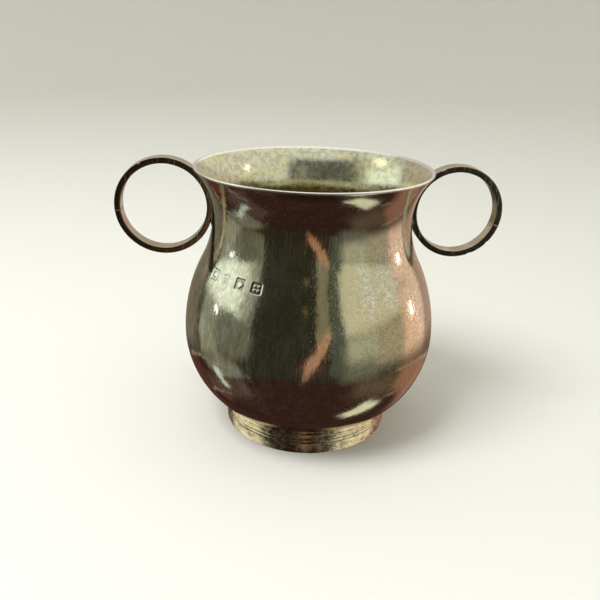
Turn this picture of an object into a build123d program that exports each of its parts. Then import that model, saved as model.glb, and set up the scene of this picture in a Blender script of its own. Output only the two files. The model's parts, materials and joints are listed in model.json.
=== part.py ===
"""Two-handled silver sugar bowl: raised body, reeded foot ring, two ring handles.

Millimetres. +Z is up and is the bowl's own axis, +X runs across the two handles, and the
origin is the middle of the foot's underside, on the surface that the bowl stands on.
Every round part is turned about Z or about its own ring's axis.
"""
from build123d import *
from math import atan2, cos, degrees, radians, sin
import os

# Body: sheet silver raised to a pear shape with a flared lip.
HEIGHT = 81.6
RIM_RADIUS = 35.0
WALL = 0.7
BELLY_RADIUS = 38.5
BELLY_HEIGHT = 31.5
LOWER_ARC = 29.2
UPPER_ARC = 48.2
NECK_RADIUS = 29.6
NECK_HEIGHT = 67.4

# Foot: a moulded strip bent to a ring. From the bottom up its mouldings are a plain band, a thin
# reed, a second band and a bead under the bowl, each a little wider than the one below.
FOOT_INNER_RADIUS = 23.8
FOOT_EDGE = 0.35
MOULDING_HEIGHTS = [2.95, 0.95, 1.65, 1.3]
MOULDING_RADII = [25.6, 25.7, 26.1, 26.6]
MOULDING_SWELL = 0.15
GROOVE_WIDTH = 0.4
GROOVE_DEPTH = 0.5
FOOT_SOLDER_LEG = 1.1

# Ring handles: flat strip bent round, standing in the XZ plane against the neck. They were bent
# by hand, and the left one came out a little larger and higher.
RING_RADIUS = {"left": 14.25, "right": 13.8}
RING_OFFSET = {"left": 43.55, "right": 43.1}
RING_CENTRE_HEIGHT = {"left": 69.3, "right": 68.8}
STRIP_THICKNESS = 1.65
STRIP_WIDTH = 4.6
STRIP_CORNER = 0.45
SEAM_WIDTH = 0.35
SEAM_DROP = {"left": 6.0, "right": 17.0}
SOLDER_THICKNESS = 0.5
SOLDER_MARGIN = 0.4

# Four small punched cartouches in a row on the shoulder.
MARK_SIZE = 3.6
MARK_DEPTH = 0.22
MARK_CORNER = 0.5
MARK_DEVICE = 0.75
MARK_FIRST_AZIMUTH = 211.9
MARK_STEP = 9.4
MARK_COUNT = 4

# Worked out from the above: how the arcs of the body's side join.
BELLY_TO_NECK = BELLY_RADIUS - NECK_RADIUS
RISE = NECK_HEIGHT - BELLY_HEIGHT
NECK_ARC = (BELLY_TO_NECK**2 + RISE**2) / (2 * BELLY_TO_NECK) - UPPER_ARC
LIP_MIDDLE = Vector(RIM_RADIUS - WALL / 2, HEIGHT - WALL / 2)
FLARE = LIP_MIDDLE.X - (NECK_RADIUS - WALL / 2)
LIP_ARC = (FLARE**2 + (LIP_MIDDLE.Y - NECK_HEIGHT) ** 2) / (2 * FLARE) - WALL / 2

LOWER_CENTRE = Vector(BELLY_RADIUS - LOWER_ARC, BELLY_HEIGHT)
UPPER_CENTRE = Vector(BELLY_RADIUS - UPPER_ARC, BELLY_HEIGHT)
NECK_CENTRE = Vector(NECK_RADIUS + NECK_ARC, NECK_HEIGHT)
LIP_CENTRE = Vector(NECK_RADIUS + LIP_ARC, NECK_HEIGHT)
TURN = degrees(atan2(NECK_CENTRE.Y - UPPER_CENTRE.Y, NECK_CENTRE.X - UPPER_CENTRE.X))
LIP_ANGLE = degrees(atan2(LIP_MIDDLE.Y - LIP_CENTRE.Y, LIP_MIDDLE.X - LIP_CENTRE.X))


def side_arcs(growth):
    """The body's side as tangent arcs, grown outwards from the outer skin."""
    return [
        CenterArc(LOWER_CENTRE, LOWER_ARC + growth, -90, 90),
        CenterArc(UPPER_CENTRE, UPPER_ARC + growth, 0, TURN),
        CenterArc(NECK_CENTRE, NECK_ARC - growth, 180, TURN),
        CenterArc(LIP_CENTRE, LIP_ARC - growth, 180, LIP_ANGLE - 180),
    ]


def floor_point(growth):
    """Where the side's first arc meets the flat bottom."""
    return Vector(LOWER_CENTRE.X, BELLY_HEIGHT - LOWER_ARC - growth)


def lip_point(growth):
    """Where the side's last arc ends at the lip."""
    angle = radians(LIP_ANGLE)
    return LIP_CENTRE + Vector(cos(angle), sin(angle)) * (LIP_ARC - growth)


def turn_about_z(edges):
    """A closed outline in radius and height, turned once about the bowl's axis."""
    return revolve(Plane.XZ * make_face(edges), Axis.Z)


def filled_body(growth):
    """The space inside the body's skin, grown outwards, as one solid."""
    floor = floor_point(growth)
    lip = lip_point(growth)
    return turn_about_z(
        side_arcs(growth)
        + [
            Line((0, floor.Y), floor),
            Line(lip, (0, lip.Y)),
            Line((0, lip.Y), (0, floor.Y)),
        ]
    )


def cartouche(index):
    """One punched mark: a shallow recess of its own outline round a raised device."""
    outlines = [
        RectangleRounded(MARK_SIZE, MARK_SIZE, MARK_CORNER),
        Ellipse(MARK_SIZE / 2, MARK_SIZE / 2.4),
        Rectangle(MARK_SIZE, MARK_SIZE),
        RegularPolygon(MARK_SIZE / 2, 8, major_radius=False, rotation=22.5),
    ]
    devices = [
        Circle(MARK_DEVICE),
        Rectangle(MARK_DEVICE, 2 * MARK_DEVICE),
        Rot(0, 0, 45) * Rectangle(2 * MARK_DEVICE, 2 * MARK_DEVICE),
        Circle(1.5 * MARK_DEVICE) - Circle(MARK_DEVICE),
    ]
    angle = radians(TURN)
    spot = UPPER_CENTRE + Vector(cos(angle), sin(angle)) * UPPER_ARC
    seat = Plane(origin=(spot.X, 0, spot.Y), x_dir=(0, 1, 0), z_dir=(cos(angle), 0, sin(angle)))
    punch = extrude(seat * (outlines[index] - devices[index]), amount=MARK_DEPTH, both=True)
    return Rot(0, 0, MARK_FIRST_AZIMUTH + index * MARK_STEP) * punch


def bowl_body():
    """The raised sheet body with its rounded lip and its row of marks."""
    outer_floor = floor_point(0)
    inner_floor = floor_point(-WALL)
    along_lip = Vector(sin(radians(LIP_ANGLE)), -cos(radians(LIP_ANGLE)))
    lip_round = ThreePointArc(lip_point(0), LIP_MIDDLE + along_lip * (WALL / 2), lip_point(-WALL))
    body = turn_about_z(
        side_arcs(0)
        + side_arcs(-WALL)
        + [
            lip_round,
            Line((0, outer_floor.Y), outer_floor),
            Line((0, inner_floor.Y), inner_floor),
            Line((0, outer_floor.Y), (0, inner_floor.Y)),
        ]
    )
    for index in range(MARK_COUNT):
        body -= cartouche(index)
    return body


def foot_ring(inside):
    """The moulded strip, trimmed where it meets the bowl's underside."""
    low = FOOT_EDGE
    corner = Vector(MOULDING_RADII[0], low)
    edges = [
        Line((FOOT_INNER_RADIUS, 0), (MOULDING_RADII[0] - FOOT_EDGE, 0)),
        CenterArc((MOULDING_RADII[0] - FOOT_EDGE, FOOT_EDGE), FOOT_EDGE, -90, 90),
    ]
    for height, radius in zip(MOULDING_HEIGHTS, MOULDING_RADII):
        if low > FOOT_EDGE:
            bottom = Vector(radius - GROOVE_DEPTH, low + GROOVE_WIDTH / 2)
            low += GROOVE_WIDTH
            edges += [Line(corner, bottom), Line(bottom, (radius, low))]
        swelling = (radius + MOULDING_SWELL, low + height / 2)
        corner = Vector(radius, low + height)
        edges.append(ThreePointArc((radius, low), swelling, corner))
        low += height
    edges += [
        Line(corner, (FOOT_INNER_RADIUS, low)),
        Line((FOOT_INNER_RADIUS, low), (FOOT_INNER_RADIUS, 0)),
    ]
    return turn_about_z(edges) - inside


def foot_solder(inside):
    """The fillet of solder inside the foot, where it meets the bowl's underside."""
    centre = LOWER_CENTRE
    run = FOOT_INNER_RADIUS - centre.X
    top = centre.Y - (LOWER_ARC**2 - run**2) ** 0.5
    corners = [
        (FOOT_INNER_RADIUS, top - FOOT_SOLDER_LEG),
        (FOOT_INNER_RADIUS, top + FOOT_SOLDER_LEG),
        (FOOT_INNER_RADIUS - FOOT_SOLDER_LEG, top),
        (FOOT_INNER_RADIUS - FOOT_SOLDER_LEG, top - FOOT_SOLDER_LEG / 2),
    ]
    return turn_about_z(Polyline(*corners, close=True).edges()) - inside


def handle(side, sign, inside):
    """One ring handle: its strip, the seam where the strip's ends meet, and its solder."""
    radius = RING_RADIUS[side]
    centre = Pos(sign * RING_OFFSET[side], 0, RING_CENTRE_HEIGHT[side])
    section = Pos(radius - STRIP_THICKNESS / 2, 0, 0) * RectangleRounded(
        STRIP_THICKNESS, STRIP_WIDTH, STRIP_CORNER
    )
    ring = centre * revolve(section, Axis.Y)
    direction = 180 + SEAM_DROP[side] if sign < 0 else -SEAM_DROP[side]
    seam_box = Pos(radius, 0, 0) * Box(4 * STRIP_THICKNESS, 2 * STRIP_WIDTH, SEAM_WIDTH)
    seam_slab = centre * Rot(0, -direction, 0) * seam_box
    reach = Cylinder(radius + SOLDER_THICKNESS, STRIP_WIDTH + 2 * SOLDER_MARGIN)
    pad = (centre * Rot(90, 0, 0) * reach) & filled_body(SOLDER_THICKNESS)
    return {
        side + "_ring_handle": ring - inside - seam_slab,
        side + "_handle_seam": ring & seam_slab,
        side + "_handle_solder": pad - inside - ring,
    }


def main():
    inside = filled_body(0)
    nodes = {
        "bowl_body": bowl_body(),
        "foot_ring": foot_ring(inside),
        "foot_solder": foot_solder(inside),
    }
    nodes.update(handle("left", -1, inside))
    nodes.update(handle("right", 1, inside))
    os.makedirs("parts", exist_ok=True)
    for name, shape in nodes.items():
        export_step(shape, f"parts/{name}.step")
        size = shape.bounding_box().size
        print(f"{name}: {shape.volume:.1f} mm3, {size.X:.2f} x {size.Y:.2f} x {size.Z:.2f}")


main()
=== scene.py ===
# %% [markdown]
# # A two-handled silver sugar bowl
#
# The bowl is one sheet of silver raised to a pear shape, with a moulded strip soldered under it
# as a foot and two flat strips bent to rings as handles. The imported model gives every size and
# place. This file gives the bowl its looks: round shapes turned with far finer steps than the
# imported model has, small marks of the maker's tools, and a tarnish that is worked out in nodes.

# %% Load the frame
import bmesh
import bpy
import json
from math import asin, atan2, cos, degrees, exp, hypot, pi, radians, sin, sqrt
from mathutils import Matrix, Vector, noise

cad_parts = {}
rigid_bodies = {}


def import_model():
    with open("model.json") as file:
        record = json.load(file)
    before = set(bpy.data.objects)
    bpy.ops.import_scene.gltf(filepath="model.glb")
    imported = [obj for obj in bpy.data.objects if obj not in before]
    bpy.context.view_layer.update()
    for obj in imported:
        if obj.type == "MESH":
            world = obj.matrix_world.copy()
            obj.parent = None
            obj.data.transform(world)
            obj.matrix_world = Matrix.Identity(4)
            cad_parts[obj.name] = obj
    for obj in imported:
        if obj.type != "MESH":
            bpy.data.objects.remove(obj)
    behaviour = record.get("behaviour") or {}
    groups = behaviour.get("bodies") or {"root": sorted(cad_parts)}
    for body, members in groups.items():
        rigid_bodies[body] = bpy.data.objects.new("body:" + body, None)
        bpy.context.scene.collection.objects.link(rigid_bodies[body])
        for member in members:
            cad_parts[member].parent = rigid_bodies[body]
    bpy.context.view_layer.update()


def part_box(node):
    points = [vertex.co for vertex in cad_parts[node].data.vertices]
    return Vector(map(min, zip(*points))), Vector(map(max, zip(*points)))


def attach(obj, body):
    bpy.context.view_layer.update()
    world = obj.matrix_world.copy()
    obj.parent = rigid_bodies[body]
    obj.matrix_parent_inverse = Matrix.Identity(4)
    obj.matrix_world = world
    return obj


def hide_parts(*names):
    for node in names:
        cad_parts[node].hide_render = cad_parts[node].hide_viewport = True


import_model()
MM = 0.001
ROOT = "root"

# %% [markdown]
# ## Sizes
#
# A turned shape needs only its outline. The bowl's side is four arcs that run into each other:
# under the belly, over it, in at the neck and out at the lip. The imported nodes' boxes give the
# outer sizes, and the few values below place the belly and the neck between them. The radii of
# the last two arcs follow, because an arc that meets its neighbour smoothly has only one radius.

# %% Read the sizes from the frame
body_low, body_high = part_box("bowl_body")
HEIGHT = body_high.z
BELLY_RADIUS = body_high.x
FLOOR_HEIGHT = body_low.z
RIM_RADIUS = 35.0 * MM
WALL = 0.7 * MM
BELLY_HEIGHT = 31.5 * MM
UPPER_ARC = 48.2 * MM
NECK_RADIUS = 29.6 * MM
NECK_HEIGHT = 67.4 * MM

lower_arc = BELLY_HEIGHT - FLOOR_HEIGHT
waist = BELLY_RADIUS - NECK_RADIUS
rise = NECK_HEIGHT - BELLY_HEIGHT
neck_arc = (waist**2 + rise**2) / (2 * waist) - UPPER_ARC
lip_middle = Vector((RIM_RADIUS - WALL / 2, 0, HEIGHT - WALL / 2))
flare = lip_middle.x - (NECK_RADIUS - WALL / 2)
lip_arc = (flare**2 + (lip_middle.z - NECK_HEIGHT) ** 2) / (2 * flare) - WALL / 2

lower_centre = Vector((BELLY_RADIUS - lower_arc, 0, BELLY_HEIGHT))
upper_centre = Vector((BELLY_RADIUS - UPPER_ARC, 0, BELLY_HEIGHT))
neck_centre = Vector((NECK_RADIUS + neck_arc, 0, NECK_HEIGHT))
lip_centre = Vector((NECK_RADIUS + lip_arc, 0, NECK_HEIGHT))
to_neck = neck_centre - upper_centre
to_lip = lip_middle - lip_centre
shoulder_turn = atan2(to_neck.z, to_neck.x)
lip_turn = pi - atan2(to_lip.z, to_lip.x)
shoulder = upper_centre + UPPER_ARC * Vector((cos(shoulder_turn), 0, sin(shoulder_turn)))
arcs = [lower_arc, UPPER_ARC, neck_arc, lip_arc]
print("arcs in mm:", [round(arc / MM, 1) for arc in arcs])


# %% Work out the body's radius at a height
def body_radius(height):
    """The outer skin's radius, for pieces that sit against it."""
    if height < BELLY_HEIGHT:
        return lower_centre.x + sqrt(max(lower_arc**2 - (height - BELLY_HEIGHT) ** 2, 0))
    if height < shoulder.z:
        return upper_centre.x + sqrt(UPPER_ARC**2 - (height - BELLY_HEIGHT) ** 2)
    if height < NECK_HEIGHT:
        return neck_centre.x - sqrt(neck_arc**2 - (height - NECK_HEIGHT) ** 2)
    return lip_centre.x - sqrt(lip_arc**2 - (height - NECK_HEIGHT) ** 2)


print(f"neck {body_radius(NECK_HEIGHT) / MM:.1f} mm, belly {body_radius(BELLY_HEIGHT) / MM:.1f} mm")

# %% [markdown]
# ## Drawing an outline with one point
#
# A lathe outline could be a long list of points. It is easier to draw it as a draughtsman does,
# with a pen and compasses: one vertex is spun about a centre for each arc and extruded for each
# straight line. Where two arcs meet, their centres and the point are in line, so the join is
# smooth without any more work. The whole outline is then spun about the bowl's axis.

# %% Pen and compasses
TOWARDS_FRONT = Vector((0, -1, 0))
UPWARDS = Vector((0, 0, 1))
TINY = 0.001 * MM


def compass(mesh, point, centre, angle, steps):
    """Carries an outline on along an arc, anticlockwise as seen from the front."""
    made = bmesh.ops.spin(
        mesh, geom=[point], cent=centre, axis=TOWARDS_FRONT, angle=angle, steps=steps,
        use_merge=False,
    )
    return next(item for item in made["geom_last"] if isinstance(item, bmesh.types.BMVert))


def ruler(mesh, point, place, steps=1):
    """Carries an outline on in a straight line."""
    start = point.co.copy()
    for step in range(1, steps + 1):
        point = bmesh.ops.extrude_vert_indiv(mesh, verts=[point])["verts"][0]
        point.co = start.lerp(Vector(place), step / steps)
    return point


def swell(mesh, point, height, lean, depth, steps):
    """Carries an outline up by height and in by lean, as a rounded swelling that deep."""
    chord = Vector((-lean, 0, height))
    outwards = Vector((height, 0, lean)).normalized()
    radius = (chord.length_squared / 4 + depth**2) / (2 * depth)
    centre = point.co + chord / 2 - outwards * (radius - depth)
    return compass(mesh, point, centre, 2 * asin(chord.length / 2 / radius), steps)


# %% [markdown]
# ## From an outline to a piece
#
# Two jobs come back for every piece. A spin leaves points on top of each other, which are joined
# before the faces are all turned outwards. The finished mesh then becomes an object that rides
# on the bowl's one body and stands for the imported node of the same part.

# %% Lathe, and what finishes a piece
def tidy(mesh):
    """Joins what the spin left double and turns every face outwards."""
    bmesh.ops.remove_doubles(mesh, verts=mesh.verts, dist=TINY)
    bmesh.ops.recalc_face_normals(mesh, faces=mesh.faces)


def lathe(mesh, steps):
    """Spins the whole outline once about the bowl's axis."""
    bmesh.ops.spin(
        mesh, geom=mesh.verts[:] + mesh.edges[:], cent=(0, 0, 0), axis=UPWARDS, angle=2 * pi,
        steps=steps, use_merge=True,
    )
    tidy(mesh)


def finish_piece(mesh, name, slot, *nodes):
    """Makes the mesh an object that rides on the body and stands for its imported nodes."""
    data = bpy.data.meshes.new(name)
    for face in mesh.faces:
        face.smooth = True
    open_edges = sum(not edge.is_manifold for edge in mesh.edges)
    mesh.to_mesh(data)
    mesh.free()
    piece = bpy.data.objects.new(name, data)
    bpy.context.scene.collection.objects.link(piece)
    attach(piece, ROOT)
    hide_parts(*nodes)
    print(f"{name}: {len(data.polygons)} faces, {open_edges} open edges")
    return piece


# %% [markdown]
# ## The bowl's body
#
# The real body is hammered up from a disc, so it is one thin sheet with a rounded lip. Its
# outline goes up the outside, round the lip and down the inside, which closes the sheet without
# a Solidify modifier. The row of punched marks needs smaller steps than the rest, so the spin
# is done in two parts: short steps across the marks and longer ones round the other side.

# %% Draw and spin the body's sheet
MARK_AZIMUTHS = [radians(211.9 + 9.4 * index) for index in range(4)]
MARK_SIZE = 3.3 * MM
# How far a mark and its burr reach from its middle, as a share of its size.
MARK_REACH = 0.62
MARK_MARGIN = 1.2
MARK_ROWS = 14
MARK_COLUMNS = 126
PLAIN_COLUMNS = 238
FLOOR_STEPS = 4
BELLY_STEPS = 36
SIDE_STEPS = 12
LIP_STEPS = 18
LIP_ROUND_STEPS = 8
INNER_STEPS = 14
mark_reach = MARK_REACH * MARK_SIZE
upper_fine = mark_reach / UPPER_ARC
neck_fine = mark_reach / neck_arc
margin = MARK_MARGIN * mark_reach / shoulder.x
mark_span = MARK_AZIMUTHS[-1] - MARK_AZIMUTHS[0] + 2 * margin

mesh = bmesh.new()
pen = mesh.verts.new((0, 0, FLOOR_HEIGHT))
pen = ruler(mesh, pen, (lower_centre.x, 0, FLOOR_HEIGHT), FLOOR_STEPS)
pen = compass(mesh, pen, lower_centre, pi / 2, BELLY_STEPS)
pen = compass(mesh, pen, upper_centre, shoulder_turn - upper_fine, SIDE_STEPS)
pen = compass(mesh, pen, upper_centre, upper_fine, MARK_ROWS)
pen = compass(mesh, pen, neck_centre, -neck_fine, MARK_ROWS)
pen = compass(mesh, pen, neck_centre, neck_fine - shoulder_turn, SIDE_STEPS)
pen = compass(mesh, pen, lip_centre, -lip_turn, LIP_STEPS)
pen = compass(mesh, pen, lip_middle, pi, LIP_ROUND_STEPS)
pen = compass(mesh, pen, lip_centre, lip_turn, LIP_STEPS)
pen = compass(mesh, pen, neck_centre, shoulder_turn, INNER_STEPS)
pen = compass(mesh, pen, upper_centre, -shoulder_turn, INNER_STEPS)
pen = compass(mesh, pen, lower_centre, -pi / 2, BELLY_STEPS)
pen = ruler(mesh, pen, (0, 0, FLOOR_HEIGHT + WALL), FLOOR_STEPS)

first_column = Matrix.Rotation(MARK_AZIMUTHS[0] - margin, 3, "Z")
bmesh.ops.rotate(mesh, verts=mesh.verts, cent=(0, 0, 0), matrix=first_column)
outline = mesh.verts[:] + mesh.edges[:]
made = bmesh.ops.spin(
    mesh, geom=outline, cent=(0, 0, 0), axis=UPWARDS, angle=mark_span, steps=MARK_COLUMNS
)
bmesh.ops.spin(
    mesh, geom=made["geom_last"], cent=(0, 0, 0), axis=UPWARDS, angle=2 * pi - mark_span,
    steps=PLAIN_COLUMNS,
)
tidy(mesh)
finest = mark_span / MARK_COLUMNS * shoulder.x
print(f"body: {len(mesh.verts)} points, {finest / MM:.2f} mm apart across the marks")

# %% [markdown]
# ## Hammer work
#
# Hand-raised silver is never quite round, and a mirror finish shows it: reflections wander by a
# few degrees. A slow noise and a finer one move the sheet by a few hundredths of a millimetre,
# both skins together. Near the lip, the foot and the handles they fade out, so that the pieces
# still meet.

# %% Move the sheet as hammering does
WANDER = 0.07 * MM
WANDER_SIZE = 14 * MM
RIPPLE = 0.016 * MM
RIPPLE_SIZE = 4.5 * MM
OUTWARDS_ONLY = Vector((1, 1, 0))
# Where the sheet is held by the foot, the lip and the handles, and where it has come free.
FOOT_HOLD = (9 * MM, 20 * MM)
LIP_HOLD = (70 * MM, 80 * MM)
HANDLE_SIDE = (3 * MM, 12 * MM)
HANDLE_FOOT = (48 * MM, 60 * MM)


def ease(value, low, high):
    """0 below low, 1 above high, and a smooth step between."""
    part = min(max((value - low) / (high - low), 0), 1)
    return part * part * (3 - 2 * part)


def free_of_joints(place):
    """1 where the sheet is free, falling to 0 at the foot, the lip and under the handles."""
    keep = ease(place.z, *FOOT_HOLD) * (1 - ease(place.z, *LIP_HOLD))
    beside_handle = ease(abs(place.y), *HANDLE_SIDE)
    below_handle = 1 - ease(place.z, *HANDLE_FOOT)
    return keep * min(beside_handle + below_handle, 1)


deepest = 0
for point in mesh.verts:
    outwards = point.co * OUTWARDS_ONLY
    if outwards.length > TINY:
        dent = WANDER * (1 + noise.noise(point.co / WANDER_SIZE)) / 2
        dent += RIPPLE * (1 + noise.noise(point.co / RIPPLE_SIZE)) / 2
        dent *= free_of_joints(point.co)
        deepest = max(deepest, dent)
        point.co -= outwards.normalized() * dent
mesh.normal_update()
print(f"deepest dent: {deepest / MM:.3f} mm")

# %% [markdown]
# ## Punched marks
#
# The marks are struck with small steel punches, so each is a shallow recess with its device left
# standing. A formula gives the distance to a punch's outline and to its device, and points move
# inwards by it, with the softly rolled edge and the low burr that a blow leaves. A share of the
# depth for each mark says how far polishing has worn it. The devices are plain shapes.

# %% Outlines of the punches
MARK_DEPTH = 0.20 * MM
MARK_WEAR = [0.45, 0.4, 0.65, 1.0]
MARK_EDGE = 0.15 * MM
MARK_BURR = 0.02 * MM
DEVICE = 0.75 * MM
ROUND_CORNER = 0.5 * MM
CRISP_CORNER = 0.1 * MM
OVAL_HEIGHT = 0.83
OVAL_CORNER = 0.82
CUT_CORNER = 1.25
PETAL_PLACE = 0.75
PETAL_SIZE = 0.5


def box_edge(across, along, half_width, half_height, corner):
    """Distance outside a round-cornered box, negative inside."""
    side = abs(across) - half_width + corner
    top = abs(along) - half_height + corner
    return hypot(max(side, 0), max(top, 0)) + min(max(side, top), 0) - corner


def punch_edge(index, across, along):
    """Distance outside one punch's outline."""
    half = MARK_SIZE / 2
    if index == 0:
        return box_edge(across, along, half, half, ROUND_CORNER)
    if index == 1:
        return box_edge(across, along, half, half * OVAL_HEIGHT, half * OVAL_CORNER)
    square = box_edge(across, along, half, half, CRISP_CORNER)
    if index == 2:
        return square
    return max(square, (abs(across) + abs(along)) / sqrt(2) - half * CUT_CORNER)


def device_edge(index, across, along):
    """Distance outside the raised device: a dot, a bar, a lozenge or four petals."""
    if index == 0:
        return hypot(across, along) - DEVICE
    if index == 1:
        return box_edge(across, along, DEVICE / 2, DEVICE, CRISP_CORNER)
    if index == 2:
        return (abs(across) + abs(along)) / sqrt(2) - DEVICE
    middle = PETAL_PLACE * DEVICE
    return hypot(abs(across) - middle, abs(along) - middle) - PETAL_SIZE * DEVICE


print(f"punches: {len(MARK_WEAR)}, {MARK_SIZE / MM} mm square, {MARK_DEPTH / MM} mm deep when new")


# %% Strike the marks
def strike(index, across, along):
    """How far one punch sends a point of the sheet outwards: down inside, up in its burr."""
    outside = punch_edge(index, across, along)
    sunk = 1 - ease(outside, -MARK_EDGE, MARK_EDGE / 2)
    sunk *= ease(device_edge(index, across, along), -MARK_EDGE / 2, MARK_EDGE)
    burr = exp(-((outside / MARK_EDGE - 1) ** 2)) * (1 - ease(outside, MARK_EDGE, 3 * MARK_EDGE))
    return MARK_WEAR[index] * (MARK_BURR * burr - MARK_DEPTH * sunk)


struck = mesh.verts.layers.float.new("struck")
for point in mesh.verts:
    azimuth = atan2(point.co.y, point.co.x) % (2 * pi)
    along = (point.co.z - shoulder.z) / cos(shoulder_turn)
    outer_skin = hypot(point.co.x, point.co.y) > body_radius(point.co.z) - WALL / 2
    for index, middle in enumerate(MARK_AZIMUTHS):
        across = (azimuth - middle) * shoulder.x
        if outer_skin and max(abs(across), abs(along)) < mark_reach:
            push = strike(index, across, along)
            point.co += point.normal * push
            point[struck] = max(-push / MARK_DEPTH, 0)
print("points struck:", sum(point[struck] > 0 for point in mesh.verts))

# %% Finish the body and part its inside from its outside
body = finish_piece(mesh, "body", "tarnished_silver", "bowl_body")
OUTSIDE = 0
INSIDE = 1
for face in body.data.polygons:
    middle = face.center
    inner_skin = hypot(middle.x, middle.y) < body_radius(middle.z) - WALL / 2
    over_floor = middle.z > FLOOR_HEIGHT + WALL / 2
    face.material_index = INSIDE if inner_skin and over_floor else OUTSIDE
print("faces inside:", sum(face.material_index == INSIDE for face in body.data.polygons))

# %% [markdown]
# ## The foot
#
# A foot like this is drawn through a die as a moulded strip, bent round and soldered under the
# bowl. From the bottom up it has a plain band, a thin reed, a second band and a bead, with a
# groove between each two. Turned from a closed outline it is one solid ring, whose top runs up
# into the bowl's underside. A noise then rubs it by a few hundredths of a millimetre, as a foot
# wears that is pushed about on a table.

# %% Turn the foot ring
packed_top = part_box("foot_ring")[1].z
FOOT_INNER_RADIUS = 23.8 * MM
FOOT_EDGE = 0.35 * MM
MOULDING_HEIGHTS = [2.95 * MM, 0.95 * MM, 1.65 * MM, 1.3 * MM]
MOULDING_RADII = [25.6 * MM, 25.7 * MM, 26.1 * MM, 26.6 * MM]
MOULDING_SWELL = 0.06 * MM
MOULDING_PROUD = 0.08 * MM
MOULDING_LEAN = radians(4)
GROOVE_WIDTH = 0.4 * MM
GROOVE_DEPTH = 0.5 * MM
FOOT_TUCK = 0.15 * MM
FOOT_WEAR = 0.04 * MM
FOOT_WEAR_SIZE = 5 * MM
FOOT_COLUMNS = 288
EDGE_STEPS = 5
GROOVE_STEPS = 3
SWELL_STEPS = 10


def underside(radius):
    """The height of the bowl's underside at a radius."""
    return BELLY_HEIGHT - sqrt(lower_arc**2 - (radius - lower_centre.x) ** 2)


mesh = bmesh.new()
pen = mesh.verts.new((FOOT_INNER_RADIUS, 0, 0))
edge_centre = Vector((MOULDING_RADII[0] + MOULDING_PROUD - FOOT_EDGE, 0, FOOT_EDGE))
pen = ruler(mesh, pen, edge_centre * OUTWARDS_ONLY)
pen = compass(mesh, pen, edge_centre, pi / 2, EDGE_STEPS)
for height, radius in zip(MOULDING_HEIGHTS, MOULDING_RADII):
    if pen.co.z > FOOT_EDGE + TINY:
        groove = Vector((radius - GROOVE_DEPTH, 0, pen.co.z + GROOVE_WIDTH / 2))
        pen = ruler(mesh, pen, groove, GROOVE_STEPS)
        proud = Vector((radius + MOULDING_PROUD, 0, groove.z + GROOVE_WIDTH / 2))
        pen = ruler(mesh, pen, proud, GROOVE_STEPS)
    pen = swell(mesh, pen, height, height * MOULDING_LEAN, MOULDING_SWELL, SWELL_STEPS)
inner_top = underside(FOOT_INNER_RADIUS) + FOOT_TUCK
outer_top = underside(pen.co.x - FOOT_TUCK)
pen = ruler(mesh, pen, (pen.co.x - FOOT_TUCK, 0, outer_top + FOOT_TUCK), 2)
pen = ruler(mesh, pen, (FOOT_INNER_RADIUS, 0, inner_top), 4)
pen = ruler(mesh, pen, (FOOT_INNER_RADIUS, 0, 0), 2)
lathe(mesh, FOOT_COLUMNS)
for point in mesh.verts:
    outwards = (point.co * OUTWARDS_ONLY).normalized()
    worn = FOOT_WEAR * ease(point.co.z, 0, FOOT_EDGE)
    point.co -= outwards * worn * abs(noise.noise(point.co / FOOT_WEAR_SIZE))
foot = finish_piece(mesh, "foot", "foot_silver", "foot_ring")
print(f"foot: {outer_top / MM:.1f} mm high outside, packed to {packed_top / MM:.1f} mm")

# %% [markdown]
# ## Solder inside the foot
#
# Solder flows round the corner where the strip meets the bowl's underside and leaves a fillet
# there. It is a second small ring, turned from an outline with a hollow face, and it keeps
# outside the strip by less than can be seen.

# %% Turn the solder inside the foot
SOLDER_LEG = 1.1 * MM
mesh = bmesh.new()
solder_outer = FOOT_INNER_RADIUS + TINY
solder_inner = FOOT_INNER_RADIUS - SOLDER_LEG
pen = mesh.verts.new((solder_outer, 0, inner_top - FOOT_TUCK - SOLDER_LEG))
pen = ruler(mesh, pen, (solder_outer, 0, inner_top))
pen = ruler(mesh, pen, (solder_inner, 0, underside(solder_inner) + FOOT_TUCK / 2))
pen = ruler(mesh, pen, (solder_inner + SOLDER_LEG / 3, 0, inner_top - 0.75 * SOLDER_LEG), 2)
pen = ruler(mesh, pen, (solder_outer, 0, inner_top - FOOT_TUCK - SOLDER_LEG), 2)
lathe(mesh, FOOT_COLUMNS // 2)
finish_piece(mesh, "foot_fillet", "silver_solder", "foot_solder")

# %% [markdown]
# ## The ring handles
#
# Each handle is a flat strip bent round until its ends meet, and a line of solder closes it. The
# strip's section is one rectangle whose corners are beveled, spun nearly all the way round and
# capped. The short gap is then closed by the seam, a slightly prouder slice of the same section.
# Where the ring leans on the neck its outer face is filed to fit, so points that would be inside
# the body move out onto its skin.

# %% Section of the strip
STRIP_THICKNESS = 1.8 * MM
STRIP_CORNER = 0.32 * MM
SEAM_WIDTH = 0.35 * MM
SEAM_PROUD = 0.04 * MM
CORNER_STEPS = 5
FACE_CUTS = 4
SIDES = {"left": -1, "right": 1}


class Ring:
    """Where one packed ring is: its centre, its outer radius and its strip's width."""

    def __init__(self, side):
        low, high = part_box(f"{side}_ring_handle")
        self.sign = SIDES[side]
        self.radius = (high.z - low.z) / 2
        outermost = max(abs(low.x), abs(high.x))
        self.centre = Vector((self.sign * (outermost - self.radius), 0, (low.z + high.z) / 2))
        self.width = high.y - low.y

    def place(self, angle):
        """A point on the outer face at an angle, anticlockwise as seen from the front."""
        return self.centre + self.radius * Vector((cos(angle), 0, sin(angle)))


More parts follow.
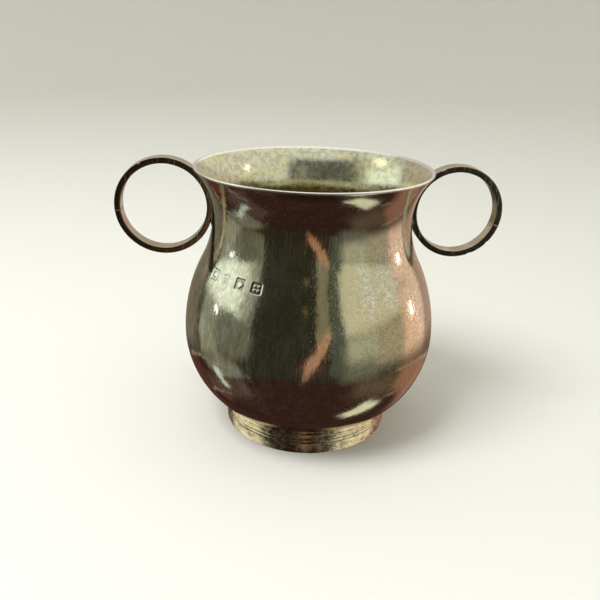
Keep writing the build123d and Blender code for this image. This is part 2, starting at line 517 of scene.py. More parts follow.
def strip_section(mesh, ring, grown):
    """A round-cornered rectangle in the XY plane, at the ring's outermost point."""
    bmesh.ops.create_grid(mesh, x_segments=1, y_segments=1, size=1)
    half_size = (STRIP_THICKNESS / 2 + grown, ring.width / 2 + grown, 1)
    bmesh.ops.scale(mesh, verts=mesh.verts, vec=half_size)
    bmesh.ops.bevel(
        mesh, geom=mesh.verts[:], offset=STRIP_CORNER, affect="VERTICES", segments=CORNER_STEPS,
        profile=0.5, material=-1, offset_type="OFFSET",
    )
    bmesh.ops.delete(mesh, geom=mesh.faces[:], context="FACES_ONLY")
    long_edges = [edge for edge in mesh.edges if edge.calc_length() > 2 * STRIP_CORNER]
    bmesh.ops.subdivide_edges(mesh, edges=long_edges, cuts=FACE_CUTS)
    place = (ring.radius - STRIP_THICKNESS / 2, 0, 0)
    bmesh.ops.translate(mesh, verts=mesh.verts, vec=place)


rings = {side: Ring(side) for side in SIDES}
for side, ring in rings.items():
    print(f"{side} ring: radius {ring.radius / MM:.2f} mm, strip {ring.width / MM:.2f} mm wide")


# %% Bend a strip and fit it to the neck
def bent_strip(mesh, ring, start, angle, steps):
    """Spins the section round the ring's centre and caps both ends."""
    turned = Matrix.Rotation(-start, 3, "Y")
    bmesh.ops.rotate(mesh, verts=mesh.verts, cent=(0, 0, 0), matrix=turned)
    bmesh.ops.spin(
        mesh, geom=mesh.verts[:] + mesh.edges[:], cent=(0, 0, 0), axis=TOWARDS_FRONT,
        angle=angle, steps=steps,
    )
    open_edges = [edge for edge in mesh.edges if edge.is_boundary]
    bmesh.ops.holes_fill(mesh, edges=open_edges, sides=0)
    tidy(mesh)
    bmesh.ops.translate(mesh, verts=mesh.verts, vec=ring.centre)


def fit_to_neck(mesh):
    """Moves points that are inside the body out onto its skin."""
    for point in mesh.verts:
        out = hypot(point.co.x, point.co.y)
        skin = body_radius(point.co.z)
        if out < skin:
            point.co.xy = point.co.xy * (skin / out)


# %% [markdown]
# ## Wear on the rings
#
# The rings stick out, so they take the knocks. A slow noise rubs the strip thinner in places, and
# a few nicks are pressed into its edges: each is a small round dent that fades with the distance
# from its middle. The right ring has met more of them than the left.

# %% Wear the strip
NICK_DEPTH = 0.25 * MM
STRIP_WEAR = 0.06 * MM
STRIP_WEAR_SIZE = 11 * MM
FRONT = -1
BACK = 1
# For each nick: its angle round the ring, the edge that it is on, and its size.
NICKS = {
    "left": [(118, FRONT, 0.35 * MM), (246, BACK, 0.3 * MM)],
    "right": [
        (113, FRONT, 0.55 * MM), (205, FRONT, 0.4 * MM), (292, FRONT, 0.6 * MM),
        (318, FRONT, 0.4 * MM), (60, BACK, 0.5 * MM),
    ],
}


def wear(mesh, ring, nicks):
    """Rubs the whole strip a little towards the ring's centre, and dents its edges."""
    for point in mesh.verts:
        inwards = ((ring.centre - point.co) * Vector((1, 0, 1))).normalized()
        rubbed = STRIP_WEAR * abs(noise.noise((point.co + ring.centre) / STRIP_WEAR_SIZE))
        for angle, edge, size in nicks:
            middle = ring.place(radians(angle))
            middle += edge * ring.width / 2 * Vector((0, 1, 0))
            rubbed += NICK_DEPTH * exp(-(((point.co - middle).length / size) ** 2))
        point.co += inwards * rubbed


print("nicks:", {side: len(nicks) for side, nicks in NICKS.items()})

# %% Bend, wear and fit the two rings
SEAM_ANGLE = {"left": radians(186), "right": radians(-17)}
SEAM_COVER = 1.2
SEAM_STEPS = 6
RING_STEPS = 300
for side, ring in rings.items():
    gap = SEAM_WIDTH / ring.radius
    mesh = bmesh.new()
    strip_section(mesh, ring, 0)
    bent_strip(mesh, ring, SEAM_ANGLE[side] + gap / 2, 2 * pi - gap, RING_STEPS)
    wear(mesh, ring, NICKS[side])
    fit_to_neck(mesh)
    finish_piece(mesh, f"{side}_ring", "handle_silver", f"{side}_ring_handle")
    mesh = bmesh.new()
    strip_section(mesh, ring, SEAM_PROUD)
    seam = SEAM_COVER * gap
    bent_strip(mesh, ring, SEAM_ANGLE[side] - seam / 2, seam, SEAM_STEPS)
    finish_piece(mesh, f"{side}_seam", "silver_solder", f"{side}_handle_seam")

# %% [markdown]
# ## Solder between ring and neck
#
# Solder runs into the narrow gap beside the strip and draws itself up into a small hollow curve.
# A grid is wrapped on the neck and raised where the strip touches it: full height under the
# strip, falling away in a hollow curve to each side and to nothing where the gap opens.

# %% Raise the solder
SOLDER_HEIGHT = 0.42 * MM
SOLDER_SPREAD = 0.75 * MM
SOLDER_ROOT = 0.12 * MM
SOLDER_SUNK = 0.02 * MM
GAP_FULL = 0.30 * MM
GAP_OPEN = 0.75 * MM
SOLDER_CELLS = (40, 96)
SOLDER_REACH = 0.78


def strip_gap(ring, height):
    """The gap between the ring's outer face and the neck at a height."""
    drop = min(abs(height - ring.centre.z), ring.radius)
    return abs(ring.centre.x) - sqrt(ring.radius**2 - drop**2) - body_radius(height)


def solder_lift(ring, across, height):
    """How high the solder stands on the neck's skin at a place beside the strip."""
    beside = max(abs(across) - ring.width / 2, 0) / SOLDER_SPREAD
    film = 1 - ease(strip_gap(ring, height), GAP_FULL, GAP_OPEN)
    return SOLDER_HEIGHT * film * max(1 - beside, 0) ** 2 - SOLDER_SUNK


for side, ring in rings.items():
    mesh = bmesh.new()
    bmesh.ops.create_grid(mesh, x_segments=SOLDER_CELLS[0], y_segments=SOLDER_CELLS[1], size=1)
    below = set(mesh.verts)
    half_size = (ring.width / 2 + SOLDER_SPREAD, SOLDER_REACH * ring.radius, 1)
    bmesh.ops.scale(mesh, verts=mesh.verts, vec=half_size)
    bmesh.ops.extrude_face_region(mesh, geom=mesh.faces[:], use_keep_orig=True)
    for point in mesh.verts:
        across = point.co.x
        height = ring.centre.z + point.co.y
        lift = -SOLDER_ROOT if point in below else solder_lift(ring, across, height)
        out = body_radius(height) + lift
        angle = across / NECK_RADIUS
        point.co = Vector((ring.sign * out * cos(angle), out * sin(angle), height))
    tidy(mesh)
    finish_piece(mesh, f"{side}_solder", "silver_solder", f"{side}_handle_solder")

# %% [markdown]
# ## Finishes as sums
#
# A finish is a small network of nodes. It reads better as arithmetic, so one class wraps a
# socket and turns sums on it into Math nodes. Everything else, from a noise to the shader, comes
# from one method, which is given the node's type, its settings and what goes into its sockets.

# %% Wire and Finish
class Wire:
    """One value in a finish. Arithmetic on it adds Math nodes."""

    def __init__(self, finish, socket):
        self.finish = finish
        self.socket = socket

    def math(self, operation, first, second=0.0):
        """Adds one Math node."""
        return self.finish.node("ShaderNodeMath", {"operation": operation}, {0: first, 1: second})

    def __add__(self, other):
        return self.math("ADD", self, other)

    def __sub__(self, other):
        return self.math("SUBTRACT", self, other)

    def __rsub__(self, other):
        return self.math("SUBTRACT", other, self)

    def __mul__(self, other):
        return self.math("MULTIPLY", self, other)

    def __truediv__(self, other):
        return self.math("DIVIDE", self, other)

    def __abs__(self):
        return self.math("ABSOLUTE", self)

    __radd__ = __add__
    __rmul__ = __mul__


class Finish:
    """The nodes of one material, or of the world."""

    def __init__(self, owner):
        owner.use_nodes = True
        self.tree = owner.node_tree
        self.tree.nodes.clear()

    def node(self, kind, settings={}, values={}, output=0):
        """Adds a node, makes its settings, then fills its sockets, and gives one output."""
        made = self.tree.nodes.new(kind)
        for name, value in settings.items():
            setattr(made, name, value)
        for socket, value in values.items():
            if isinstance(value, Wire):
                self.tree.links.new(value.socket, made.inputs[socket])
            else:
                made.inputs[socket].default_value = value
        return Wire(self, made.outputs[output]) if made.outputs else None


# %% [markdown]
# ## Masks and noises
#
# A mask says where a finish is: 0 where it isn't and 1 where it is. It comes from a place or from
# a noise, by way of a smooth step between two values. The noise is given the size of its lumps in
# metres. To draw it out along one axis, its coordinates are squeezed along that axis.

# %% Masks, noises and mixtures
def between(wire, low, high):
    """0 at low, 1 at high, and a smooth step between; low may be the larger."""
    return wire.finish.node(
        "ShaderNodeMapRange", {"interpolation_type": "SMOOTHSTEP"},
        {"Value": wire, "From Min": low, "From Max": high},
    )


def inside(wire, low, high, soft):
    """1 from low to high, fading to 0 over soft at both ends."""
    return between(wire, low - soft, low + soft) * between(wire, high + soft, high - soft)


def either(first, second):
    """The stronger of two masks."""
    return first.math("MAXIMUM", first, second)


def mixed(mask, first, second):
    """The first colour where the mask is 0 and the second where it is 1."""
    return mask.finish.node(
        "ShaderNodeMix", {"data_type": "RGBA"}, {0: mask, 6: first, 7: second}, 2
    )


def cloud(finish, where, size, detail=3.0, stretch=(1, 1, 1), turn=(0, 0, 0), warp=0.0):
    """Noise from 0 to 1 with lumps of about that size, longer where stretch is larger."""
    squeeze = [1 / part for part in stretch]
    placed = finish.node(
        "ShaderNodeMapping", {}, {"Vector": where, "Rotation": turn, "Scale": squeeze}
    )
    return finish.node(
        "ShaderNodeTexNoise", {},
        {"Vector": placed, "Scale": 1 / size, "Detail": detail, "Distortion": warp},
    )


def coordinate(vector, axis):
    """One of a vector's three coordinates, X, Y or Z."""
    return vector.finish.node("ShaderNodeSeparateXYZ", {}, {"Vector": vector}, axis)


# %% [markdown]
# ## Tarnished silver
#
# Old silver goes yellow, then olive, then brown-black, as its film of sulphide thickens, so all
# its colours lie on one scale. They are what the bare metal would reflect of white light. Every
# finish below reads object coordinates, so it stays on the metal wherever the piece goes.

# %% The colours of the film
CLEAN = (0.76, 0.74, 0.66, 1)
BRIGHT = (0.92, 0.90, 0.84, 1)
YELLOWED = (0.62, 0.54, 0.36, 1)
TANNED = (0.52, 0.45, 0.30, 1)
OLIVE = (0.42, 0.39, 0.27, 1)
BROWN = (0.40, 0.30, 0.22, 1)
# The darkest film; on the rings' flat sides it is also painted shade.
BLACK_FILM_AND_SHADE = (0.10, 0.085, 0.065, 1)
GILT = (0.70, 0.63, 0.36, 1)
# A darker gilt, painted as shade deep inside the bowl.
SHADED_GILT = (0.52, 0.45, 0.22, 1)
PALE = (0.68, 0.67, 0.54, 1)
print("cleanest to darkest:", [round(sum(film[:3]) / 3, 2) for film in (BRIGHT, CLEAN, BLACK_FILM_AND_SHADE)])

# %% [markdown]
# ## The metal itself
#
# Every finish ends in the same shader: a metal with a colour, a roughness and a fine relief. The
# relief is far too shallow for the mesh, a few thousandths of a millimetre, yet it is what makes
# a polished face glitter. Scratches are noise drawn out along one direction and cut off high up,
# so that only thin crests are left.

# %% Scratches, the shader, and a start for each finish
def scratch_lines(finish, where, width, length, turn):
    """Thin lines, 0 to 1, that run up the piece before they are turned to one side."""
    strokes = cloud(finish, where, width, 2.0, (1, 1, length / width), (0, turn, 0), 0.2)
    return between(strokes, 0.60, 0.68)


def metal(finish, colour, roughness, height, depth, bare=1.0):
    """Metal with a fine relief that is up to depth deep; bare is below 1 under a dull film."""
    relief = finish.node("ShaderNodeBump", {}, {"Distance": depth, "Height": height})
    shader = finish.node(
        "ShaderNodeBsdfPrincipled", {},
        {"Base Color": colour, "Metallic": bare, "Roughness": roughness, "Normal": relief},
    )
    finish.node("ShaderNodeOutputMaterial", {}, {"Surface": shader})


def start_finish(name):
    """A new material, its finish and the place of each point on the metal."""
    material = bpy.data.materials.new(name)
    finish = Finish(material)
    return material, finish, finish.node("ShaderNodeTexCoord", {}, {}, "Object")


def coat(material, *pieces):
    """Gives each piece the material, after any that it already has."""
    for name in pieces:
        bpy.data.objects[name].data.materials.append(material)
    print(f"{material.name}: {len(material.node_tree.nodes)} nodes, on {', '.join(pieces)}")


# %% [markdown]
# ## The outside of the bowl
#
# Hands and cloths keep the belly clean, and leave the neck and the part over the foot brown. The
# right side was rubbed with something coarse, which left a grain that glitters. The left side
# was wiped, so it has long soft streaks and shallow swirls instead. A mask along X fades from one
# to the other. The ground of the marks is dark, which the struck attribute of the mesh tells.

# %% Finish the outside
NECK_FILM = (63 * MM, 70 * MM)
LOW_FILM = (25 * MM, 14 * MM)
LIP_WEAR_AND_HIGHLIGHT = (80.7 * MM, 81.0 * MM)
RUBBED_SIDE = (-8 * MM, 18 * MM)


def outside_silver():
    """Clean to yellow on the belly, brown above and below, grainy to the right."""
    material, finish, place = start_finish("tarnished_silver")
    z = coordinate(place, "Z")
    film = cloud(finish, place, 22 * MM, 5.0, (1, 1, 1.6), (0, 0, 0), 0.6)
    streaks = cloud(finish, place, 3.5 * MM, 3.0, (1, 1, 9))
    grain = cloud(finish, place, 0.45 * MM, 2.0)
    coarse = cloud(finish, place, 1.3 * MM, 3.0)
    wipes = cloud(finish, place, 1.6 * MM, 2.0, (1, 1, 7), (0, 0.45, 0), 0.5)
    swirls = cloud(finish, place, 4.5 * MM, 4.0, (1, 1, 2.2), (0, 0.4, 0), 0.9)
    fine_lines = scratch_lines(finish, place, 0.3 * MM, 9 * MM, 0.35)
    cross_lines = scratch_lines(finish, place, 0.4 * MM, 14 * MM, -0.9)
    grainy = between(coordinate(place, "X"), *RUBBED_SIDE)
    wiped = 1 - grainy
    yellow = between(film + 0.35 * (streaks - 0.5) + 0.12 * grainy, 0.44, 0.66)
    neck = between(z + 9 * MM * (film - 0.5), *NECK_FILM)
    low = between(z + 12 * MM * (film - 0.5), *LOW_FILM)
    # The top of the lip is rubbed bare and also painted bright as a highlight.
    bare_and_highlit_lip = between(z, *LIP_WEAR_AND_HIGHLIGHT)
    struck = finish.node("ShaderNodeAttribute", {"attribute_name": "struck"}, {}, "Fac")
    colour = mixed(yellow, CLEAN, YELLOWED)
    colour = mixed(0.45 * between(film + 0.5 * (coarse - 0.5), 0.54, 0.38), colour, OLIVE)
    colour = mixed(0.6 * either(neck, low), colour, BROWN)
    specks = between(grain + 0.4 * coarse, 0.76, 0.62)
    colour = mixed((0.10 + 0.75 * grainy) * specks, colour, OLIVE)
    dulled = either(0.45 * between(wipes, 0.54, 0.42), 0.7 * between(swirls, 0.54, 0.42))
    colour = mixed(wiped * dulled, colour, OLIVE)
    colour = mixed(0.55 * wiped * either(fine_lines, cross_lines), colour, BRIGHT)
    colour = mixed(0.7 * between(struck, 0.3, 0.8), colour, BLACK_FILM_AND_SHADE)
    colour = mixed(bare_and_highlit_lip, colour, BRIGHT)
    rough = 0.055 + (0.03 + 0.06 * grainy) * between(grain, 0.42, 0.62) + 0.03 * film
    rough = rough + 0.06 * cross_lines + 0.25 * bare_and_highlit_lip
    height = (0.35 + 0.85 * grainy) * grain + 0.3 * (coarse + fine_lines + cross_lines)
    height = height + wiped * (1.8 * wipes + 9 * swirls)
    metal(finish, colour, rough, height, 0.008 * MM)
    return material


coat(outside_silver(), "body")

# %% [markdown]
# ## The inside of the bowl
#
# The inside has a thin wash of gold. It is worn to patches near the lip, where spoons and cloths
# reach. Further down it is painted darker, as painted shade for the deep inside of the bowl. The
# wall is rougher than outside, so it shows only soft shapes.

# %% Finish the inside
INSIDE_SHADE_LINE = (72 * MM, 67 * MM)
INNER_LIP_WEAR_AND_HIGHLIGHT = (80.8 * MM, 81.2 * MM)


def inside_silver():
    """Worn pale gilding, painted darker towards the bottom as shade."""
    material, finish, place = start_finish("inside_silver")
    z = coordinate(place, "Z")
    film = cloud(finish, place, 8 * MM, 5.0, (1, 1, 1), (0, 0, 0), 0.8)
    mottle = cloud(finish, place, 1.7 * MM, 4.0, (1, 1, 1), (0, 0, 0), 0.4)
    grain = cloud(finish, place, 0.6 * MM, 2.0)
    # Painted shade: the gilt is painted darker further down the inside of the bowl.
    deep = between(z + 5 * MM * (mottle - 0.5), *INSIDE_SHADE_LINE)
    gilt = between(film + 0.5 * (mottle - 0.5), 0.46, 0.68)
    # The top of the inner lip is rubbed bare and also painted bright as a highlight.
    bare_and_highlit_lip = between(z, *INNER_LIP_WEAR_AND_HIGHLIGHT)
    colour = mixed(0.75 * gilt, PALE, GILT)
    colour = mixed(0.85 * deep, colour, SHADED_GILT)
    colour = mixed(0.65 * between(mottle + 0.4 * (grain - 0.5), 0.60, 0.36), colour, OLIVE)
    colour = mixed(bare_and_highlit_lip, colour, BRIGHT)
    rough = 0.13 + 0.10 * between(mottle, 0.35, 0.65)
    metal(finish, colour, rough, grain + 1.5 * mottle, 0.012 * MM, 0.88 + 0.1 * deep)
    return material


coat(inside_silver(), "body")

# %% [markdown]
# ## The finish of the foot
#
# Polish can't reach into the grooves, so they fill with black, while the swellings between them
# are rubbed to a warm yellow. The mask compares each point's distance from the axis with that of
# the moulding at its height. Two grooves lie under a wider band, where that isn't enough, so
# they are also marked by their height.

# %% Finish the foot
SECOND_BAND = (4.4 * MM, 5.0 * MM)
BEAD = (6.6 * MM, 7.0 * MM)
FACE_RADIUS = 25.5 * MM
BAND_STEP = 0.45 * MM
BEAD_STEP = 0.5 * MM
UNDER_BAND = (4.5 * MM, 4.9 * MM)
UNDER_BEAD = (6.55 * MM, 7.0 * MM)
GROOVE_SOFT = 0.06 * MM


def foot_silver():
    """Yellow on the mouldings and black in the grooves."""
    material, finish, place = start_finish("foot_silver")
    x = coordinate(place, "X")
    y = coordinate(place, "Y")
    z = coordinate(place, "Z")
    squared = x * x + y * y
    radius = squared.math("SQRT", squared)
    film = cloud(finish, place, 6 * MM, 4.0, (1, 1, 1), (0, 0, 0), 0.5)
    mottle = cloud(finish, place, 1.8 * MM, 4.0, (1, 1, 0.7), (0, 0, 0), 0.5)
    grain = cloud(finish, place, 0.4 * MM, 2.0)
    face = FACE_RADIUS + BAND_STEP * between(z, *SECOND_BAND) + BEAD_STEP * between(z, *BEAD)
    dirt = between(radius - face, 0.02 * MM, -GROOVE_SOFT)
    overhung = either(inside(z, *UNDER_BAND, GROOVE_SOFT), inside(z, *UNDER_BEAD, GROOVE_SOFT))
    dirt = either(dirt, overhung)
    colour = mixed(between(film, 0.4, 0.62), TANNED, YELLOWED)
    colour = mixed(0.55 * between(mottle + 0.6 * film, 0.80, 0.66), colour, BLACK_FILM_AND_SHADE)
    colour = mixed(0.45 * between(mottle + 0.4 * grain, 0.76, 0.88), colour, BRIGHT)
    colour = mixed(0.92 * dirt, colour, BLACK_FILM_AND_SHADE)
    rough = 0.16 + 0.12 * between(mottle, 0.4, 0.6) + 0.3 * dirt
    metal(finish, colour, rough, grain + mottle, 0.012 * MM)
    return material


coat(foot_silver(), "foot")

# %% [markdown]
# ## The finish of the rings
#
# Fingers rub the inner and outer faces of the strip, but hardly touch its two flat sides, which
# face front and back. Those are painted nearly black, partly as tarnish and partly as painted
# shade for the dark room that they reflect, with a thin bright line where the corner starts. The
# distance from the plane of the ring tells the sides from the faces.

# %% Finish the rings
FLAT_SIDE = (2.08 * MM, 2.24 * MM)


def handle_silver():
    """Bright on the rubbed faces, and black on the flat sides as tarnish and painted shade."""
    material, finish, place = start_finish("handle_silver")
    y = coordinate(place, "Y")
    film = cloud(finish, place, 9 * MM, 4.0)
    grain = cloud(finish, place, 0.4 * MM, 2.0)
    lines = scratch_lines(finish, place, 0.3 * MM, 5 * MM, 0.8)
    # Painted shade and tarnish: the flat sides are painted nearly black, partly as tarnish and
    # partly as shade from the dark room they reflect.
    flat_side_film_and_shade = between(abs(y) + 0.2 * MM * (film - 0.5), *FLAT_SIDE)
    colour = mixed(between(film, 0.38, 0.62), YELLOWED, CLEAN)
    colour = mixed(0.9 * flat_side_film_and_shade * between(grain + 0.5 * lines, 1.1, 0.75), colour, BLACK_FILM_AND_SHADE)
    rough = 0.12 + 0.08 * grain + 0.1 * lines
    metal(finish, colour, rough, grain + 0.5 * lines, 0.006 * MM)
    return material


coat(handle_silver(), "left_ring", "right_ring")

# %% [markdown]
# ## Solder
#
# Silver solder holds more brass than the sheet does. It sets with a dull, slightly rough skin,
# and it yellows sooner. One finish serves the seams, the neck and the foot.

# %% Finish the solder
SOLDERED = ["left_seam", "right_seam", "left_solder", "right_solder", "foot_fillet"]


def solder_silver():
    """Dull olive to yellow, with a soft skin."""
    material, finish, place = start_finish("silver_solder")
    film = cloud(finish, place, 2 * MM, 4.0)
    grain = cloud(finish, place, 0.3 * MM, 2.0)
    colour = mixed(between(film, 0.4, 0.6), OLIVE, YELLOWED)
    metal(finish, colour, 0.24 + 0.14 * film, grain + film, 0.02 * MM)
    return material


coat(solder_silver(), *SOLDERED)

# %% [markdown]
# ## What the silver sees
#
# Polished silver has hardly a colour of its own: it shows what stands round it. So the studio is
# arranged as a silversmith's photographer does it, as a dark room with large soft panels, and
# each panel is placed by the direction in which the bowl reflects it. Directions are an azimuth
# from the front, rising to the right, and an elevation. The pale floor is for the eye only. Were
# it seen in the metal, the lower half of the bowl would go white.

# %% The shapes that light takes
LINE_END = 3


def pane(azimuth, elevation, azimuths, elevations, edge):
    """A four-sided panel with soft edges."""
    return inside(azimuth, *azimuths, edge) * inside(elevation, *elevations, edge)


def glow(azimuth, elevation, azimuths, elevations, edge):
    """A round patch that fills the same box."""
    across = (azimuth - sum(azimuths) / 2) / ((azimuths[1] - azimuths[0]) / 2)
    along = (elevation - sum(elevations) / 2) / ((elevations[1] - elevations[0]) / 2)
    squared = across * across + along * along
    return between(squared, 1 + edge, 1 - edge)


def line(azimuth, elevation, azimuths, elevations, edge):
    """A thin line from one corner of the box to the other."""
    slope = (elevations[1] - elevations[0]) / (azimuths[1] - azimuths[0])
    off = abs(elevation - elevations[0] - slope * (azimuth - azimuths[0]))
    return between(off, edge, 0.3 * edge) * inside(azimuth, *azimuths, LINE_END)


# %% [markdown]
# ## The panels
#
# Each row is one thing that the silver shows. A later row covers an earlier one, as a card held
# in front of a window does, so the big windows come first and the lamps and thin edges last.
# Colours above 1 are brighter than white paper, as windows and lamps are in a dim room.

# %% The studio's soft panels
CEILING = (0.88, 0.90, 0.82, 1)
DARK_ROOM = (0.042, 0.042, 0.030, 1)
DARK_TABLE = (0.050, 0.026, 0.021, 1)
RED_TABLE = (0.090, 0.036, 0.034, 1)
BACK_WALL = (0.50, 0.43, 0.37, 1)
# For each panel: its shape, colour, azimuths, elevations and how soft its edge is, in degrees.
PANELS = [
    # the left window, its lower pane, its frame and what it lights on the table
    (pane, (0.70, 0.74, 0.62, 1), (-128, -64), (14, 64), 4),
    (pane, (1.25, 1.36, 1.20, 1), (-122, -65), (1, 30), 4),
    (pane, (0.40, 0.42, 0.34, 1), (-72, -59), (2, 58), 7),
    (pane, (0.42, 0.43, 0.35, 1), (-118, -90), (-26, 3), 5),
    (glow, (0.20, 0.21, 0.16, 1), (-98, -54), (-22, 6), 0.5),
    (glow, (0.26, 0.27, 0.23, 1), (-114, -64), (-38, -22), 0.5),
    (line, (0.42, 0.43, 0.35, 1), (-59, -57), (-24, 30), 12),
    (pane, (0.22, 0.19, 0.14, 1), (-165, -124), (-26, 0), 5),
    (pane, (0.13, 0.085, 0.07, 1), (-132, -66), (-54, -38), 4),
    (pane, (0.75, 0.92, 0.86, 1), (-104, -95), (-47, -31), 2),
    (glow, (0.12, 0.045, 0.03, 1), (-170, -132), (-44, -27), 0.4),
    (glow, (3.0, 3.2, 3.2, 1), (-99, -95), (-3, 2), 0.5),
    # the narrow strip just right of the middle, and the dark post beside it
    (pane, (0.30, 0.29, 0.21, 1), (3, 15), (-2, 36), 1.5),
    (glow, (0.10, 0.05, 0.035, 1), (-12, 12), (-26, -10), 0.5),
    (line, (0.66, 0.38, 0.24, 1), (-6, 14), (-24, 4), 10),
    (glow, (0.24, 0.16, 0.09, 1), (-9, -5), (19, 27), 0.5),
    (pane, (0.11, 0.135, 0.115, 1), (17, 26), (-26, 46), 2),
    # the right window, whose lower part shows dimmer over the table
    (pane, (0.90, 0.90, 0.76, 1), (28, 160), (13, 64), 3),
    (pane, (0.88, 0.89, 0.76, 1), (28, 92), (2, 62), 3),
    (pane, (0.22, 0.25, 0.21, 1), (28, 62), (-31, -12), 6),
    (pane, (0.60, 0.64, 0.54, 1), (29, 64), (-16, 3), 6),
    (pane, (0.54, 0.50, 0.41, 1), (59, 92), (-22, 3), 7),
    # the warm wall beyond it, a lamp, and the light that they throw on the table
    (pane, (1.15, 0.84, 0.70, 1), (90, 128), (-22, 13), 6),
    (pane, (0.55, 0.38, 0.30, 1), (128, 170), (-22, 4), 5),
    (pane, (0.42, 0.23, 0.17, 1), (92, 152), (-44, -26), 5),
    (pane, (0.17, 0.13, 0.10, 1), (44, 94), (-50, -29), 10),
    (pane, (1.15, 1.25, 1.05, 1), (77, 107), (-72, -54), 2.5),
    (glow, (16.0, 13.5, 12.0, 1), (100.5, 104.5), (-5, 0), 0.5),
    (glow, (7.0, 7.0, 7.0, 1), (81, 87), (24, 30), 0.5),
    (glow, (2.2, 2.2, 2.1, 1), (-106, -88), (34, 47), 0.8),
    # the edges of the table top
    (line, (0.60, 0.48, 0.40, 1), (84, 150), (-28.5, -27), 0.8),
    (line, (0.45, 0.36, 0.30, 1), (-150, -78), (-29, -28), 0.8),
    (line, (0.40, 0.33, 0.28, 1), (-143, -108), (-43, -52), 0.9),
    (line, (0.55, 0.40, 0.32, 1), (98, 116), (-50, -44), 0.9),
]
print("panels:", len(PANELS))

# %% [markdown]
# ## Hanging the panels
#
# The world shader turns each direction into an azimuth and an elevation and lays the panels over
# a dark room, one after another. Two noises bend the directions by a few degrees, as the folds
# of a cloth and the dents of the bowl bend every edge that is seen in real silver.

# %% Light the studio
TABLE_EDGE = (-34, -27)
CEILING_EDGE = (44, 52)
BACK_AZIMUTH = (124, 134)
BACK_ELEVATION = (-24, -12)
DRAPE_SIZE = 0.09
FOLD_SIZE = 0.035
# How far the two noises bend an azimuth and an elevation, in degrees.
DRAPE_BEND = (8, 4)
FOLD_BEND = (5, 3)


def light_the_studio():
    """The world: a dark room, a table, a wall behind, a ceiling, and the panels."""
    world = bpy.data.worlds.new("studio")
    bpy.context.scene.world = world
    finish = Finish(world)
    direction = finish.node("ShaderNodeTexCoord", {}, {}, "Generated")
    x = coordinate(direction, "X")
    y = coordinate(direction, "Y")
    z = coordinate(direction, "Z")
    drape = cloud(finish, direction, DRAPE_SIZE, 2.0) - 0.5
    fold = cloud(finish, direction, FOLD_SIZE, 2.0) - 0.5
    azimuth = degrees(1) * x.math("ARCTAN2", x, 0 - y)
    azimuth = azimuth + DRAPE_BEND[0] * drape + FOLD_BEND[0] * fold
    elevation = degrees(1) * z.math("ARCSINE", z)
    elevation = elevation + DRAPE_BEND[1] * drape + FOLD_BEND[1] * fold
    table = mixed(between(drape + fold, 0, 0.2), DARK_TABLE, RED_TABLE)
    light = mixed(between(elevation, *TABLE_EDGE), table, DARK_ROOM)
    behind = between(abs(azimuth), *BACK_AZIMUTH) * between(elevation, *BACK_ELEVATION)
    light = mixed(behind, light, BACK_WALL)
    light = mixed(between(elevation, *CEILING_EDGE), light, CEILING)
    for shape, colour, azimuths, elevations, edge in PANELS:
        light = mixed(shape(azimuth, elevation, azimuths, elevations, edge), light, colour)
    background = finish.node("ShaderNodeBackground", {}, {"Color": light, "Strength": 1.0})
    finish.node("ShaderNodeOutputWorld", {}, {"Surface": background})
    print("world nodes:", len(world.node_tree.nodes))


light_the_studio()

# %% [markdown]
# ## The floor
#
# A sweep of pale paper, flat under the bowl and curved up far away, gives a plain ground with no
# horizon. It is turned on the same lathe. The metal doesn't see it, and it casts no shadow, so
# that the low cards under it can shine up through it.

# %% Floor
STAGE_RADIUS = 1.2
STAGE_COLUMNS = 96
SWEEP_STEPS = 24
PAPER = (0.78, 0.77, 0.75, 1)
mesh = bmesh.new()
pen = mesh.verts.new((0, 0, 0))
pen = ruler(mesh, pen, (STAGE_RADIUS, 0, 0), 2)
pen = compass(mesh, pen, Vector((STAGE_RADIUS, 0, STAGE_RADIUS / 2)), pi / 2, SWEEP_STEPS)
pen = ruler(mesh, pen, pen.co + UPWARDS * STAGE_RADIUS)
lathe(mesh, STAGE_COLUMNS)
bmesh.ops.reverse_faces(mesh, faces=mesh.faces[:])
for face in mesh.faces:
    face.smooth = True
data = bpy.data.meshes.new("stage")
mesh.to_mesh(data)
mesh.free()
stage = bpy.data.objects.new("stage", data)
bpy.context.scene.collection.objects.link(stage)
stage.visible_glossy = False
stage.visible_shadow = False
material = bpy.data.materials.new("pale_paper")
paper = Finish(material)
dull_white = {"Base Color": PAPER, "Roughness": 0.8}
shader = paper.node("ShaderNodeBsdfPrincipled", {}, dull_white)
paper.node("ShaderNodeOutputMaterial", {}, {"Surface": shader})
data.materials.append(material)
print(f"floor: {len(data.polygons)} faces, {2 * STAGE_RADIUS} m across before it curves up")

# %% [markdown]
# ## Key light and cards
#
# The panels light the metal, but a soft key light gives the bowl its shadow on the paper. It is
# hidden from the metal, which would show it as a square. The foot is wider at its top, so its
# side looks down, where the room is dark. On a real table it catches light from the surface, so
# two cards below the level of the floor are linked to the foot alone and do the same.

# %% Key light, and two low cards that light only the foot
KEY_PLACE = Vector((-0.35, -0.25, 0.7))
KEY_SIZE = 0.35
KEY_ENERGY = 5.0
CARD_DISTANCE = 0.25
CARD_DROP = radians(31)
CARD_SIZE = 0.26
CARD_ENERGY = 0.185
# For each card: its azimuth from the front and its colour.
CARDS = {"left": (-92, (1.0, 0.96, 0.80)), "right": (68, (1.0, 0.92, 0.74))}


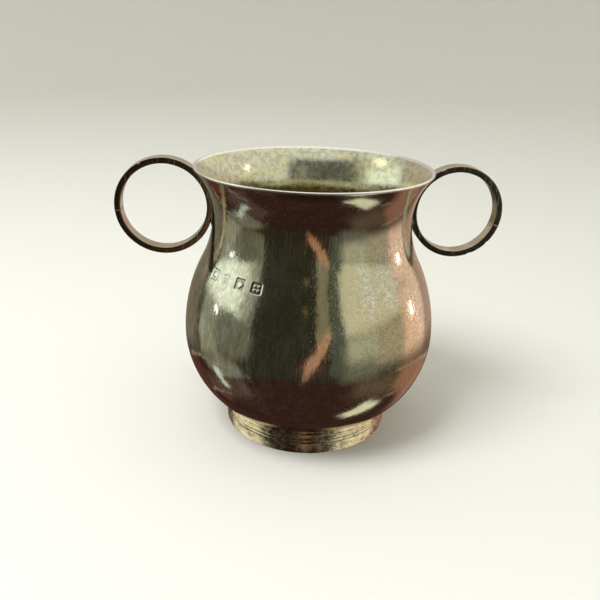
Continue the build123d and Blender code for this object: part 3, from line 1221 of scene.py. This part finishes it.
def soft_light(name, place, size, energy, colour):
    """A square area light that faces the bowl and that the camera doesn't see."""
    data = bpy.data.lights.new(name, "AREA")
    data.energy = energy
    data.size = size
    data.color = colour
    light = bpy.data.objects.new(name, data)
    bpy.context.scene.collection.objects.link(light)
    light.location = place
    light.rotation_euler = place.to_track_quat("Z", "Y").to_euler()
    light.visible_camera = False
    return light


key = soft_light("key", KEY_PLACE, KEY_SIZE, KEY_ENERGY, (1, 1, 1))
key.visible_glossy = False
only_foot = bpy.data.collections.new("only_foot")
only_foot.objects.link(foot)
for name, (azimuth, colour) in CARDS.items():
    flat = Vector((sin(radians(azimuth)), -cos(radians(azimuth)), 0))
    place = CARD_DISTANCE * (flat * cos(CARD_DROP) - UPWARDS * sin(CARD_DROP))
    card = soft_light(f"{name}_card", place, CARD_SIZE, CARD_ENERGY, colour)
    card.light_linking.receiver_collection = only_foot

# %% [markdown]
# ## The camera
#
# It stands close to the bowl, a little to its left, and looks down on it, held very slightly
# askew as by hand. So near, the rim spreads wide and the foot tapers away below it. The Standard
# view keeps the panels' colours as they are given.

# %% Camera
LENS = 40.8
CAMERA_PLACE = Vector((0, -198.1 * MM, 119.1 * MM))
CAMERA_AZIMUTH = radians(-4.47)
CAMERA_PAN = radians(-3.65)
CAMERA_DIP = radians(21.94)
CAMERA_ROLL = radians(1.80)
bpy.context.scene.view_settings.view_transform = "Standard"
camera_data = bpy.data.cameras.new("camera")
camera = bpy.data.objects.new("camera", camera_data)
bpy.context.scene.collection.objects.link(camera)
camera_data.lens = LENS
place = Matrix.Rotation(CAMERA_AZIMUTH, 4, "Z") @ CAMERA_PLACE
pan = Matrix.Rotation(CAMERA_PAN, 4, "Z")
dip = Matrix.Rotation(pi / 2 - CAMERA_DIP, 4, "X")
roll = Matrix.Rotation(CAMERA_ROLL, 4, "Z")
camera.matrix_world = Matrix.Translation(place) @ pan @ dip @ roll
bpy.context.scene.camera = camera
print(f"camera: {place.length / MM:.0f} mm from the middle of the foot")
